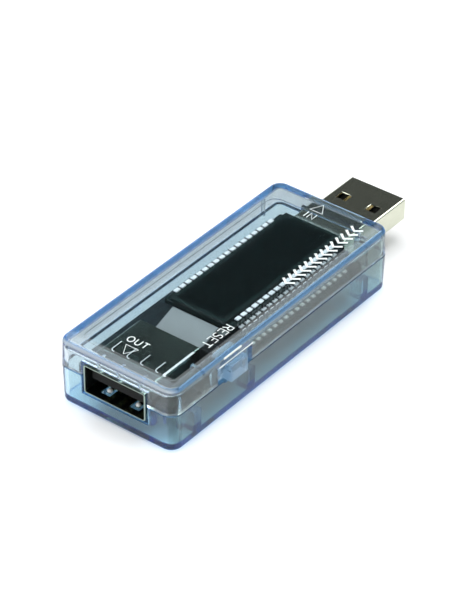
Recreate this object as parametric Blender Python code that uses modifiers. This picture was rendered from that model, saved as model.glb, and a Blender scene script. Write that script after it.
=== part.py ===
"""USB power meter: a clear snap-together case with a circuit board, a USB-A plug, a USB-A socket,
a twin-glass LCD on pins and a reset button.

Metres, +Z up. The origin is the centre of the case's underside, +X points to the plug and -Y to
the side with the reset button. Sizes are written in millimetres and scaled by MM.
"""

import math

import bmesh
import bpy

MM = 0.001
GAP = 0.3

# Case
CASE_LENGTH = 61.0
CASE_WIDTH = 25.0
CASE_HEIGHT = 12.7
CORNER_RADIUS = 2.5
TOP_FILLET = 1.0
BOTTOM_FILLET = 1.0
PARTING_HEIGHT = 7.8
SIDE_WALL = 1.2
FLOOR = 1.3
ROOF = 1.7

HALF_LENGTH = CASE_LENGTH / 2
HALF_WIDTH = CASE_WIDTH / 2
CAVITY_X = HALF_LENGTH - SIDE_WALL
CAVITY_Y = HALF_WIDTH - SIDE_WALL
CEILING = CASE_HEIGHT - ROOF
LOWER_TOP = PARTING_HEIGHT - GAP / 2
UPPER_BOTTOM = PARTING_HEIGHT + GAP / 2
CAVITY_CORNER = 1.3
CAVITY_END_RADIUS = 0.5
ROOF_RECESS_X = (-27.2, 26.0)
ROOF_RECESS_Y = 10.05
ROOF_RECESS_DEPTH = 0.25
ROOF_RECESS_CORNER = 2.0

# Ribs that hold the board and rests under the connectors; each is rooted in the wall behind it
ROOT = 0.5
LOWER_RIB_X = (-23.5, -9.0, 23.5)
LOWER_RIB_Y = 8.6
LOWER_RIB_HALF = 1.0
UPPER_RIB_X = (-21.5, 24.2)
UPPER_RIB_Y = 9.1
UPPER_RIB_HALF = 0.3
SNAP_X = (24.1, 24.4)
SNAP_Y = 10.6
SOCKET_REST_X = (-26.0, -18.0)
SOCKET_REST_HALF = 0.8
SOCKET_REST_Y = 5.5
PLUG_REST_X = (26.2, 27.4)
PLUG_REST_Y = 5.0

# Circuit board
BOARD_BOTTOM = 5.4
BOARD_TOP = 7.0
BOARD_Y = 9.85
BOARD_X = (-27.6, 25.1)
ON_BOARD = BOARD_TOP + GAP
UNDER_BOARD = BOARD_BOTTOM - GAP
BOARD_NOTCH = (-15.5, 6.9)

# USB-A socket, open towards -X
SOCKET_X = (-HALF_LENGTH, -15.85)
SOCKET_Y = 6.55
SOCKET_Z = (4.25, 9.95)
SHEET = 0.3
SOCKET_TONGUE_X = (-29.4, -19.0)
SOCKET_TONGUE_Y = 5.5
SOCKET_TONGUE_Z = (7.0, 8.85)
FINGER_X = (-25.3, -22.5)
SOCKET_WINDOW_X = (-29.1, -27.0)
SOCKET_WINDOW_Y = (2.1, 4.1)
FINGER_Y = (1.45, 4.65)
SLIT = 0.25
SOCKET_BLOCK_END = -16.2
SOCKET_CLEARANCE_Y = 0.5
SOCKET_CLEARANCE_Z = 0.45

# USB-A plug, pointing to +X
PLUG_X = (25.4, 44.2)
PLUG_Y = 6.0
PLUG_Z = (3.95, 8.45)
PLUG_TONGUE_X = (31.0, 43.4)
PLUG_TONGUE_Y = 5.4
PLUG_TONGUE_TOP = 6.3
PLUG_HOLE_X = (37.04, 39.04)
PLUG_HOLE_Y = (2.1, 4.3)

CONTACT_Y = (-3.5, -1.0, 1.0, 3.5)
CONTACT_WIDTH = 1.0
SOCKET_CONTACT_X = (-28.6, -15.7, -14.6)
PLUG_CONTACT_X = (24.1, 25.3, 43.1)
CONTACT_SHEET = 0.2
CONTACT_CHANNEL_HALF = 0.75
SOCKET_CHANNEL_DEPTH = 0.85
PLUG_CHANNEL_DEPTH = 0.8
SHELL_CORNER = 0.55
BORE_CORNER = 0.3

# LCD
GLASS_X = (-8.5, 24.0)
FRONT_GLASS_Y = 5.8
FRONT_GLASS_Z = (9.95, 10.68)
REAR_GLASS_Y = 7.0
REAR_GLASS_Z = (8.85, 9.75)
PIN_COUNT = 18
PIN_PITCH = 1.545
FIRST_PIN_X = -5.75
PIN_Y = 7.45
PIN_WIDTH = 0.5
PIN_SHEET = 0.3
PIN_JAW_Z = (10.05, 10.4)
PIN_JAW_Y = 6.15
PIN_JAW_WIDTH = 0.9
PIN_FOOT = 4.4
PIN_HOLE_RADIUS = 0.45
BEAD_Z = (8.7, 9.7)
BEAD_X = (-6.6, 21.3)
BEAD_PROUD = 0.15

# Backlight: a guide under the display and a film flap that slopes down from it to the board
GUIDE_X = (-8.3, 23.8)
GUIDE_Y = 5.6
GUIDE_TOP = 8.55
FLAP_X = (-14.0, -9.0)
FLAP_TOP = 9.0
FLAP_SHEET = 0.35
FLAP_WIDTH = 9.7
LED_X = (-10.6, -9.2)
LED_Y = (-2.5, 2.5)
LED_HALF = 0.5
LED_TOP = 8.1

# Reset button and its switch
BUTTON_X = (-16.7, -12.2)
BUTTON_Z = (7.35, 10.75)
BUTTON_FRONT = -13.7
BUTTON_BACK = -9.5
BUTTON_EDGE = 0.4
WEB_X = (-18.3, -10.1)
WEB_Y = (-11.9, -10.8)
WEB_TOP = 10.6
FLANGE_X = (-19.4, -9.0)
FLANGE_Y = (-11.0, -10.6)
FLANGE_Z = (7.4, 10.7)
WINDOW_X = (-18.8, -9.6)
WINDOW_TOP = 10.95
SLOT_CLEARANCE = 0.4
SWITCH_X = (-16.75, -12.15)
SWITCH_Y = (-8.75, -6.95)
SWITCH_Z = (ON_BOARD, 10.5)
PLUNGER_X = (-15.4, -13.5)
PLUNGER_Y = (-9.2, -8.2)
PLUNGER_Z = (8.4, 9.7)
POCKET_BOTTOM = -7.65

# Components under the board
CAPACITOR_PLACES = ((14.5, 0.0), (18.0, 3.0), (-2.5, 3.5), (-2.5, -3.5))
RESISTOR_PLACES = ((-6.0, -3.5), (-9.0, -3.5), (-12.0, -3.5), (17.0, -3.5))

BLACK = (0.03, 0.03, 0.03)
CLEAR_BLUE = (0.55, 0.66, 0.78)

for old in list(bpy.data.objects):
    bpy.data.objects.remove(old, do_unlink=True)

PARTS = bpy.data.collections.new("usb_power_meter")
CUTTERS = bpy.data.collections.new("cutters")
for collection in (PARTS, CUTTERS):
    bpy.context.scene.collection.children.link(collection)


def make_material(name, colour, roughness, metallic=0.0, transmission=0.0):
    """A Principled material of one colour."""
    material = bpy.data.materials.new(name)
    material.use_nodes = True
    shader = material.node_tree.nodes["Principled BSDF"]
    shader.inputs["Base Color"].default_value = (*colour, 1.0)
    shader.inputs["Roughness"].default_value = roughness
    shader.inputs["Metallic"].default_value = metallic
    shader.inputs["Transmission Weight"].default_value = transmission
    return material


def box_mesh(name, xs, ys, zs):
    """A box's mesh about its own centre, and that centre, in metres."""
    size = [(high - low) * MM for low, high in (xs, ys, zs)]
    centre = [(high + low) / 2 * MM for low, high in (xs, ys, zs)]
    mesh = bpy.data.meshes.new(name)
    bm = bmesh.new()
    bmesh.ops.create_cube(bm, size=1.0)
    bmesh.ops.scale(bm, vec=size, verts=bm.verts)
    bm.to_mesh(mesh)
    bm.free()
    return mesh, centre


def add_box(name, xs, ys, zs):
    """A part of the meter that starts as a box from low to high along each axis, in millimetres."""
    mesh, centre = box_mesh(name, xs, ys, zs)
    part = bpy.data.objects.new(name, mesh)
    part.location = centre
    PARTS.objects.link(part)
    return part


def add_helper_box(name, xs, ys, zs):
    """A box that is only cut from a part or joined to one."""
    mesh, centre = box_mesh(name, xs, ys, zs)
    return add_helper(name, mesh, centre)


def add_helper(name, mesh, location):
    helper = bpy.data.objects.new(name, mesh)
    helper.location = location
    helper.hide_render = True
    helper.display_type = "WIRE"
    CUTTERS.objects.link(helper)
    return helper


def combine(part, operation, *helpers):
    """Cut the helpers from the part with DIFFERENCE, or join them to it with UNION."""
    for helper in helpers:
        modifier = part.modifiers.new(helper.name, "BOOLEAN")
        modifier.operation = operation
        modifier.object = helper
        modifier.solver = "EXACT"


def cut_box(part, xs, ys, zs):
    combine(part, "DIFFERENCE", add_helper_box(f"cut_{part.name}", xs, ys, zs))


def join_box(part, xs, ys, zs):
    combine(part, "UNION", add_helper_box(f"join_{part.name}", xs, ys, zs))


def repeat_along_x(helper, count, pitch):
    array = helper.modifiers.new("repeat", "ARRAY")
    array.use_relative_offset = False
    array.use_constant_offset = True
    array.constant_offset_displace = (pitch * MM, 0.0, 0.0)
    array.count = count


def round_edges(part, wanted, radius, segments):
    """Round the edges that wanted(edge) picks from the part's own mesh."""
    bm = bmesh.new()
    bm.from_mesh(part.data)
    edges = [edge for edge in bm.edges if wanted(edge)]
    bmesh.ops.bevel(
        bm, geom=edges, offset=radius * MM, segments=segments, profile=0.5, affect="EDGES"
    )
    bm.to_mesh(part.data)
    bm.free()


def along(axis):
    """Picks the edges that run along one axis."""

    def wanted(edge):
        run = edge.verts[0].co - edge.verts[1].co
        return abs(run[axis]) > 0.99 * run.length

    return wanted


def at_end(axis, part, sign):
    """Picks the edges on the box's outer face at that end of the axis."""
    limit = max(sign * vertex.co[axis] for vertex in part.data.vertices)

    def wanted(edge):
        return all(sign * vertex.co[axis] > limit - 1e-6 for vertex in edge.verts)

    return wanted


def soften(part, width=0.08, segments=1):
    """A small chamfer or radius on every sharp edge, after the part's other modifiers."""
    bevel = part.modifiers.new("soft_edges", "BEVEL")
    bevel.width = width * MM
    bevel.segments = segments
    bevel.limit_method = "ANGLE"
    bevel.angle_limit = math.radians(60)
    bevel.use_clamp_overlap = True


def finish(part, colour, roughness, metallic=0.0, transmission=0.0):
    """Give the part its own material and smooth shading across its rounded edges."""
    material = make_material(part.name, colour, roughness, metallic, transmission)
    part.data.materials.append(material)
    if part.type == "MESH":
        part.data.shade_smooth()
        part.data.set_sharp_from_angle(angle=math.radians(35))
    return part


def add_strip(name, outline, y, width):
    """A strip bent in the XZ plane: a filled outline in millimetres, centred on y."""
    curve = bpy.data.curves.new(name, "CURVE")
    curve.dimensions = "2D"
    curve.fill_mode = "BOTH"
    curve.extrude = width / 2 * MM
    spline = curve.splines.new("POLY")
    spline.points.add(len(outline) - 1)
    for point, (x, z) in zip(spline.points, outline):
        point.co = (x * MM, z * MM, 0.0, 1.0)
    spline.use_cyclic_u = True
    strip = bpy.data.objects.new(name, curve)
    strip.rotation_euler = (math.radians(90), 0.0, 0.0)
    strip.location = (0.0, y * MM, 0.0)
    PARTS.objects.link(strip)
    return strip


def add_case_body(name, zs, fillet_end, fillet):
    """One half of the case as a solid block with round corners, before it is hollowed."""
    half = add_box(name, (-HALF_LENGTH, HALF_LENGTH), (-HALF_WIDTH, HALF_WIDTH), zs)
    round_edges(half, along(2), CORNER_RADIUS, 6)
    round_edges(half, at_end(2, half, fillet_end), fillet, 3)
    return half


def add_cavity(name, zs, closed_end):
    """The hollow of one half, with round corners and a small radius at its closed end."""
    cavity = add_helper_box(name, (-CAVITY_X, CAVITY_X), (-CAVITY_Y, CAVITY_Y), zs)
    round_edges(cavity, along(2), CAVITY_CORNER, 3)
    round_edges(cavity, at_end(2, cavity, closed_end), CAVITY_END_RADIUS, 2)
    return cavity


def cut_mouths(half):
    """The openings for the socket and the plug, which both halves share."""
    past = HALF_LENGTH + 1
    socket_y = SOCKET_Y + SOCKET_CLEARANCE_Y
    cut_box(half, (-past, 1 - CAVITY_X), (-socket_y, socket_y),
            (SOCKET_Z[0] - SOCKET_CLEARANCE_Z, SOCKET_Z[1] + SOCKET_CLEARANCE_Z))
    cut_box(half, (CAVITY_X - 1, past), (-PLUG_Y - GAP, PLUG_Y + GAP),
            (PLUG_Z[0] - GAP, PLUG_Z[1] + GAP))


def build_lower_shell():
    shell = add_case_body("lower_shell", (0, LOWER_TOP), -1, BOTTOM_FILLET)
    combine(shell, "DIFFERENCE", add_cavity("lower_cavity", (FLOOR, LOWER_TOP + 2), -1))
    cut_mouths(shell)
    cut_box(shell, (BUTTON_X[0] - SLOT_CLEARANCE, BUTTON_X[1] + SLOT_CLEARANCE),
            (-HALF_WIDTH - 1, 1 - CAVITY_Y), (BUTTON_Z[0] - GAP, LOWER_TOP + 1))
    for side in (-1, 1):
        for x in LOWER_RIB_X:
            ys = sorted((side * LOWER_RIB_Y, side * (CAVITY_Y + ROOT)))
            join_box(shell, (x - LOWER_RIB_HALF, x + LOWER_RIB_HALF), ys, (FLOOR - ROOT, UNDER_BOARD))
    for x in SOCKET_REST_X:
        join_box(shell, (x - SOCKET_REST_HALF, x + SOCKET_REST_HALF), (-SOCKET_REST_Y, SOCKET_REST_Y),
                 (FLOOR - ROOT, SOCKET_Z[0] - GAP))
    join_box(shell, PLUG_REST_X, (-PLUG_REST_Y, PLUG_REST_Y), (FLOOR - ROOT, PLUG_Z[0] - GAP))
    return finish(shell, CLEAR_BLUE, 0.05, transmission=1.0)


def build_upper_shell():
    shell = add_case_body("upper_shell", (UPPER_BOTTOM, CASE_HEIGHT), 1, TOP_FILLET)
    combine(shell, "DIFFERENCE", add_cavity("upper_cavity", (UPPER_BOTTOM - 2, CEILING), 1))
    recess = add_helper_box("roof_recess", ROOF_RECESS_X, (-ROOF_RECESS_Y, ROOF_RECESS_Y),
                            (CEILING - 1, CEILING + ROOF_RECESS_DEPTH))
    round_edges(recess, along(2), ROOF_RECESS_CORNER, 4)
    combine(shell, "DIFFERENCE", recess)
    cut_mouths(shell)
    cut_box(shell, WINDOW_X, (-HALF_WIDTH - 1, 1 - CAVITY_Y), (UPPER_BOTTOM - 1, WINDOW_TOP))
    for x in UPPER_RIB_X:
        join_box(shell, (x - UPPER_RIB_HALF, x + UPPER_RIB_HALF), (GAP - CAVITY_Y, -UPPER_RIB_Y),
                 (ON_BOARD, CEILING + ROOT))
    join_box(shell, SNAP_X, (SNAP_Y, CAVITY_Y + ROOT), (UPPER_BOTTOM, CEILING + ROOT))
    return finish(shell, CLEAR_BLUE, 0.05, transmission=1.0)


def build_main_board():
    board = add_box("main_board", BOARD_X, (-BOARD_Y, BOARD_Y), (BOARD_BOTTOM, BOARD_TOP))
    round_edges(board, along(2), 0.6, 2)
    cut_box(board, (BOARD_X[0] - 1, BOARD_NOTCH[0]), (-BOARD_NOTCH[1], BOARD_NOTCH[1]),
            (BOARD_BOTTOM - 1, BOARD_TOP + 1))
    for side in (-1, 1):
        mesh = bpy.data.meshes.new("pin_hole")
        bm = bmesh.new()
        bmesh.ops.create_cone(
            bm, cap_ends=True, segments=10, radius1=PIN_HOLE_RADIUS * MM,
            radius2=PIN_HOLE_RADIUS * MM, depth=(BOARD_TOP - BOARD_BOTTOM + 2) * MM,
        )
        bm.to_mesh(mesh)
        bm.free()
        middle = (BOARD_TOP + BOARD_BOTTOM) / 2
        holes = add_helper("pin_holes", mesh, (FIRST_PIN_X * MM, side * PIN_Y * MM, middle * MM))
        repeat_along_x(holes, PIN_COUNT, PIN_PITCH)
        combine(board, "DIFFERENCE", holes)
    return finish(board, (0.03, 0.08, 0.09), 0.45)


def add_connector_shell(name, xs, half_width, zs):
    """A folded sheet tube, open at both ends, with rounded long edges."""
    shell = add_box(name, xs, (-half_width, half_width), zs)
    round_edges(shell, along(0), SHELL_CORNER, 3)
    inside = half_width - SHEET
    bore = add_helper_box(
        f"bore_{name}", (xs[0] - 1, xs[1] + 1), (-inside, inside), (zs[0] + SHEET, zs[1] - SHEET)
    )
    round_edges(bore, along(0), BORE_CORNER, 2)
    combine(shell, "DIFFERENCE", bore)
    return shell


def build_socket_shell():
    shell = add_connector_shell("socket_shell", SOCKET_X, SOCKET_Y, SOCKET_Z)
    x0, x1 = FINGER_X
    through = (SOCKET_Z[0] - 1, SOCKET_Z[1] + 1)
    for side in (-1, 1):
        for y in FINGER_Y:
            cut_box(shell, (x0 - SLIT / 2, x1), (side * y - SLIT / 2, side * y + SLIT / 2), through)
        across = sorted(side * y for y in FINGER_Y)
        cut_box(shell, (x0 - SLIT, x0), across, through)
        window = sorted(side * y for y in SOCKET_WINDOW_Y)
        cut_box(shell, SOCKET_WINDOW_X, window, (SOCKET_Z[0] - 1, SOCKET_Z[0] + 1))
    return finish(shell, (0.62, 0.64, 0.65), 0.25, metallic=1.0)


def build_plug_shell():
    shell = add_connector_shell("plug_shell", PLUG_X, PLUG_Y, PLUG_Z)
    for side in (-1, 1):
        ys = sorted(side * y for y in PLUG_HOLE_Y)
        cut_box(shell, PLUG_HOLE_X, ys, (PLUG_Z[0] - 1, PLUG_Z[1] + 1))
    return finish(shell, (0.62, 0.62, 0.60), 0.22, metallic=1.0)


def build_socket_insulator():
    back_z = (SOCKET_Z[0] + SHEET + GAP, SOCKET_Z[1] - SHEET - GAP)
    back_y = SOCKET_Y - SHEET - GAP
    block = add_box("socket_insulator", (SOCKET_TONGUE_X[1], SOCKET_BLOCK_END), (-back_y, back_y),
                    back_z)
    join_box(block, (SOCKET_TONGUE_X[0], SOCKET_TONGUE_X[1] + 1),
             (-SOCKET_TONGUE_Y, SOCKET_TONGUE_Y), SOCKET_TONGUE_Z)
    for y in CONTACT_Y:
        cut_box(block, (SOCKET_TONGUE_X[1] - 1, SOCKET_BLOCK_END + 1),
                (y - CONTACT_CHANNEL_HALF, y + CONTACT_CHANNEL_HALF),
                (SOCKET_TONGUE_Z[0] - SOCKET_CHANNEL_DEPTH, SOCKET_TONGUE_Z[0]))
    return finish(block, BLACK, 0.4)


def build_plug_insulator():
    low = PLUG_Z[0] + SHEET + GAP
    high = PLUG_Z[1] - SHEET - GAP
    block = add_box("plug_insulator", (PLUG_X[0] + GAP, PLUG_TONGUE_X[0]),
                    (-PLUG_TONGUE_Y, PLUG_TONGUE_Y), (low, high))
    join_box(block, (PLUG_TONGUE_X[0] - 1, PLUG_TONGUE_X[1]),
             (-PLUG_TONGUE_Y, PLUG_TONGUE_Y), (low, PLUG_TONGUE_TOP))
    for y in CONTACT_Y:
        cut_box(block, (PLUG_X[0] - 1, PLUG_TONGUE_X[0] + 1),
                (y - CONTACT_CHANNEL_HALF, y + CONTACT_CHANNEL_HALF),
                (PLUG_TONGUE_TOP, PLUG_TONGUE_TOP + PLUG_CHANNEL_DEPTH))
    return finish(block, BLACK, 0.4)


def build_contacts():
    """Four bent strips in each connector: flat in the mouth, raised behind it onto the board."""
    sheet = CONTACT_SHEET
    foot = (ON_BOARD, ON_BOARD + sheet)
    socket_z = SOCKET_TONGUE_Z[0] - GAP - sheet
    plug_z = PLUG_TONGUE_TOP + GAP
    tip, back, end = SOCKET_CONTACT_X
    plug_end, plug_back, plug_tip = PLUG_CONTACT_X
    for number, y in enumerate(CONTACT_Y, start=1):
        outline = [
            (tip, socket_z), (back, socket_z), (back, foot[0]), (end, foot[0]), (end, foot[1]),
            (back - sheet, foot[1]), (back - sheet, socket_z + sheet), (tip, socket_z + sheet),
        ]
        strip = add_strip(f"socket_contact_{number}", outline, y, CONTACT_WIDTH)
        finish(strip, (0.75, 0.55, 0.25), 0.3, metallic=1.0)
        outline = [
            (plug_tip, plug_z), (plug_tip, plug_z + sheet), (plug_back + sheet, plug_z + sheet),
            (plug_back + sheet, foot[1]), (plug_end, foot[1]), (plug_end, foot[0]),
            (plug_back, foot[0]), (plug_back, plug_z),
        ]
        strip = add_strip(f"plug_contact_{number}", outline, y, CONTACT_WIDTH)
        finish(strip, (0.75, 0.55, 0.25), 0.3, metallic=1.0)


def build_lcd():
    """Front and rear glass, and a row of clip pins down each long edge of the rear glass."""
    front = add_box("lcd_front_glass", GLASS_X, (-FRONT_GLASS_Y, FRONT_GLASS_Y), FRONT_GLASS_Z)
    soften(front)
    finish(front, (0.01, 0.015, 0.02), 0.08)
    rear = add_box("lcd_rear_glass", GLASS_X, (-REAR_GLASS_Y, REAR_GLASS_Y), REAR_GLASS_Z)
    soften(rear)
    finish(rear, (0.05, 0.10, 0.09), 0.1)
    for name, side in (("lcd_pins_far", 1), ("lcd_pins_near", -1)):
        inner = PIN_Y - PIN_SHEET / 2
        outer = PIN_Y + PIN_SHEET / 2
        bead_ys = sorted((side * inner, side * (outer + BEAD_PROUD)))
        row = add_box(name, BEAD_X, bead_ys, BEAD_Z)
        jaw_ys = sorted((side * PIN_JAW_Y, side * outer))
        leg_ys = sorted((side * inner, side * outer))
        jaws = add_helper_box(
            f"jaws_{name}",
            (FIRST_PIN_X - PIN_JAW_WIDTH / 2, FIRST_PIN_X + PIN_JAW_WIDTH / 2), jaw_ys, PIN_JAW_Z,
        )
        legs = add_helper_box(
            f"legs_{name}", (FIRST_PIN_X - PIN_WIDTH / 2, FIRST_PIN_X + PIN_WIDTH / 2),
            leg_ys, (PIN_FOOT, PIN_JAW_Z[1] - 0.1),
        )
        for helper in (jaws, legs):
            repeat_along_x(helper, PIN_COUNT, PIN_PITCH)
            combine(row, "UNION", helper)
        finish(row, (0.8, 0.8, 0.78), 0.3, metallic=1.0)


def build_backlight():
    guide = add_box("backlight_guide", GUIDE_X, (-GUIDE_Y, GUIDE_Y), (ON_BOARD, GUIDE_TOP))
    soften(guide, 0.2, 2)
    finish(guide, (0.75, 0.78, 0.76), 0.35)
    outline = [(FLAP_X[0], ON_BOARD), (FLAP_X[1], FLAP_TOP), (FLAP_X[1], FLAP_TOP + FLAP_SHEET),
               (FLAP_X[0], ON_BOARD + FLAP_SHEET)]
    finish(add_strip("backlight_flap", outline, 0, FLAP_WIDTH), (0.80, 0.82, 0.82), 0.6)
    for number, y in enumerate(LED_Y, start=1):
        led = add_box(f"backlight_led_{number}", LED_X, (y - LED_HALF, y + LED_HALF),
                      (ON_BOARD, LED_TOP))
        soften(led)
        finish(led, (0.85, 0.83, 0.65), 0.4)


def build_reset_button():
    """A cap through the window, a web that fills the window and a flange that keeps it in."""
    button = add_box("reset_button", BUTTON_X, (BUTTON_FRONT, BUTTON_BACK), BUTTON_Z)
    round_edges(button, at_end(1, button, -1), BUTTON_EDGE, 2)
    join_box(button, WEB_X, WEB_Y, (UPPER_BOTTOM, WEB_TOP))
    join_box(button, FLANGE_X, FLANGE_Y, FLANGE_Z)
    return finish(button, (0.35, 0.50, 0.75), 0.08, transmission=1.0)


def build_switch():
    body = add_box("switch_body", SWITCH_X, SWITCH_Y, SWITCH_Z)
    cut_box(body, (PLUNGER_X[0] - GAP, PLUNGER_X[1] + GAP), (SWITCH_Y[0] - 1, POCKET_BOTTOM),
            (PLUNGER_Z[0] - GAP, PLUNGER_Z[1] + GAP))
    finish(body, (0.05, 0.05, 0.05), 0.45)
    plunger = add_box("switch_plunger", PLUNGER_X, PLUNGER_Y, PLUNGER_Z)
    soften(plunger)
    finish(plunger, (0.85, 0.84, 0.80), 0.4)


def add_underside(name, x, y, size, colour, metallic=0.0):
    """A component soldered under the board: its middle, its size and its colour."""
    length, width, height = size
    part = add_box(name, (x - length / 2, x + length / 2), (y - width / 2, y + width / 2),
                   (UNDER_BOARD - height, UNDER_BOARD))
    soften(part)
    return finish(part, colour, 0.4, metallic)


def build_underside():
    add_underside("microcontroller", 4.0, 0.0, (7.0, 7.0, 1.2), BLACK)
    add_underside("shunt_resistor", -9.0, 1.5, (6.3, 3.2, 0.7), BLACK)
    add_underside("voltage_regulator", 14.5, 3.0, (3.0, 1.7, 1.1), BLACK)
    add_underside("crystal", 11.0, -3.0, (5.0, 3.2, 1.0), (0.6, 0.6, 0.58), 1.0)
    for number, (x, y) in enumerate(CAPACITOR_PLACES, start=1):
        add_underside(f"capacitor_{number}", x, y, (2.0, 1.25, 1.0), (0.55, 0.40, 0.25))
    for number, (x, y) in enumerate(RESISTOR_PLACES, start=1):
        add_underside(f"resistor_{number}", x, y, (1.6, 0.8, 0.5), BLACK)


build_lower_shell()
build_upper_shell()
build_main_board()
build_socket_shell()
build_socket_insulator()
build_plug_shell()
build_plug_insulator()
build_contacts()
build_lcd()
build_backlight()
build_reset_button()
build_switch()
build_underside()
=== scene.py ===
"""Looks for the USB power meter: clear case halves, connectors, display, circuit board and marks.

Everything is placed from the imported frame, in metres. Sizes in the constants are millimetres.
"""

import math

import bmesh
import bpy
from mathutils import Matrix, Vector


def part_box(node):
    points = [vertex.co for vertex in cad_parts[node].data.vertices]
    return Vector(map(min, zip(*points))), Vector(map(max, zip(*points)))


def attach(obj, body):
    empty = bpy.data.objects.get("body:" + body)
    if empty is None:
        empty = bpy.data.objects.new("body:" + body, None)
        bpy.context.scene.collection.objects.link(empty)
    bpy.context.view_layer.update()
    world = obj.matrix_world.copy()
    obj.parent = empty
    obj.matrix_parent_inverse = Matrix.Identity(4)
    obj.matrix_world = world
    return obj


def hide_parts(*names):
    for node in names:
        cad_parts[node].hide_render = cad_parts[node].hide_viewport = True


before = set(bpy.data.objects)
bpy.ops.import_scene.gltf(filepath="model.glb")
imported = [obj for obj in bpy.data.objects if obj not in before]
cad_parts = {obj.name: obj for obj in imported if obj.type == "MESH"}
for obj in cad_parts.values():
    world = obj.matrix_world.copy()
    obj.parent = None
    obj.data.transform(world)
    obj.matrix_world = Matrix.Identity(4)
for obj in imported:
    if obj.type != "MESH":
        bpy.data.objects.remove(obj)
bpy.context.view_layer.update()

MM = 0.001


def node_box(node):
    """A CAD node's box in millimetres, as (x0, x1), (y0, y1), (z0, z1)."""
    low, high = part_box(node)
    return tuple((round(low[i] / MM, 3), round(high[i] / MM, 3)) for i in range(3))


UPPER = node_box("upper_shell")
LOWER = node_box("lower_shell")
SOCKET = node_box("socket_shell")
PLUG = node_box("plug_shell")
BOARD = node_box("main_board")
FRONT_GLASS = node_box("lcd_front_glass")
REAR_GLASS = node_box("lcd_rear_glass")
BUTTON = node_box("reset_button")

# Case: the two halves close on each other at the parting height
HALF_LENGTH = UPPER[0][1]
HALF_WIDTH = UPPER[1][1]
TOP = UPPER[2][1]
PARTING = (UPPER[2][0] + LOWER[2][1]) / 2
PARTING_GAP = 0.03
RIM_EDGE = 0.08
CORNER_RADIUS = 2.5
TOP_FILLET = 1.0
TOP_DRAFT = 0.15
BOTTOM_FILLET = 0.8
BOTTOM_DRAFT = 0.21
SIDE_WALL = 1.2
ROOF = 1.7
FLOOR = 1.1
CAVITY_X = HALF_LENGTH - SIDE_WALL
CAVITY_Y = HALF_WIDTH - SIDE_WALL
CAVITY_CORNER = 1.3
SMALLEST_CORNER = 0.25
CEILING = TOP - ROOF
CEILING_FILLET = 0.5
FLOOR_FILLET = 0.3
FILLET_STEPS = 16
FLOOR_FILLET_STEPS = 5
RECESS_X = (-27.2, 26.0)
RECESS_Y = 10.05
RECESS_CORNER = 2.0
RECESS_DEPTH = 0.16
# Free space round what passes through the case or stands over its ribs
GAP = 0.3
SOCKET_GAP_Y = 0.5
SOCKET_GAP_Z = 0.45
WINDOW_X = (-18.8, -9.6)
WINDOW_GAP = 0.2
WEB_SLOT_X = (-17.1, -11.8)
# Three slits in the inside of the end wall, over the socket
END_SLIT_Y = (-5.2, -0.6, 3.6)
END_SLIT_HALF = 0.2
END_SLIT_WALL = 0.5
END_SLIT_DEPTH = 0.4
UPPER_RIB_X = (-21.5, 24.2)
UPPER_RIB_HALF = 0.3
UPPER_RIB_Y = (GAP - CAVITY_Y, -9.1)
SNAP_X = (24.1, 24.4)
SNAP_Y = 10.6
# How far above the parting height the snap and the button's web start
PARTING_RISE = 0.15
LOWER_RIB_X = (-23.5, -9.0, 23.5)
LOWER_RIB_HALF = 1.0
LOWER_RIB_Y = 8.6
SOCKET_REST_X = (-26.0, -18.0)
SOCKET_REST_HALF = 0.8
SOCKET_REST_REACH = 5.5
PLUG_REST_X = (26.2, 27.4)
PLUG_REST_REACH = 5.0
# How deep a rib is sunk in a wall and in the floor, and how far a cut goes past what it cuts
SINK = 0.5
FLOOR_SINK = 0.3
PAST = 1.0


def span(middle, half):
    return middle - half, middle + half


def widen(limits, by):
    return limits[0] - by, limits[1] + by


def beside(side, near, far):
    """A range across the object on side -1 or 1 of its centre line."""
    return sorted((side * near, side * far))


# ---------------------------------------------------------------- materials

# The band of a noise value's range that holds most of it
NOISE_LOW = 0.3
NOISE_HIGH = 0.7


def linear(red, green, blue):
    """A display colour from 0 to 255 as linear light."""
    def channel(value):
        share = value / 255
        return share / 12.92 if share <= 0.04045 else ((share + 0.055) / 1.055) ** 2.4
    return channel(red), channel(green), channel(blue)


def shade(colour, factor):
    return tuple(min(1.0, channel * factor) for channel in colour)


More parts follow.
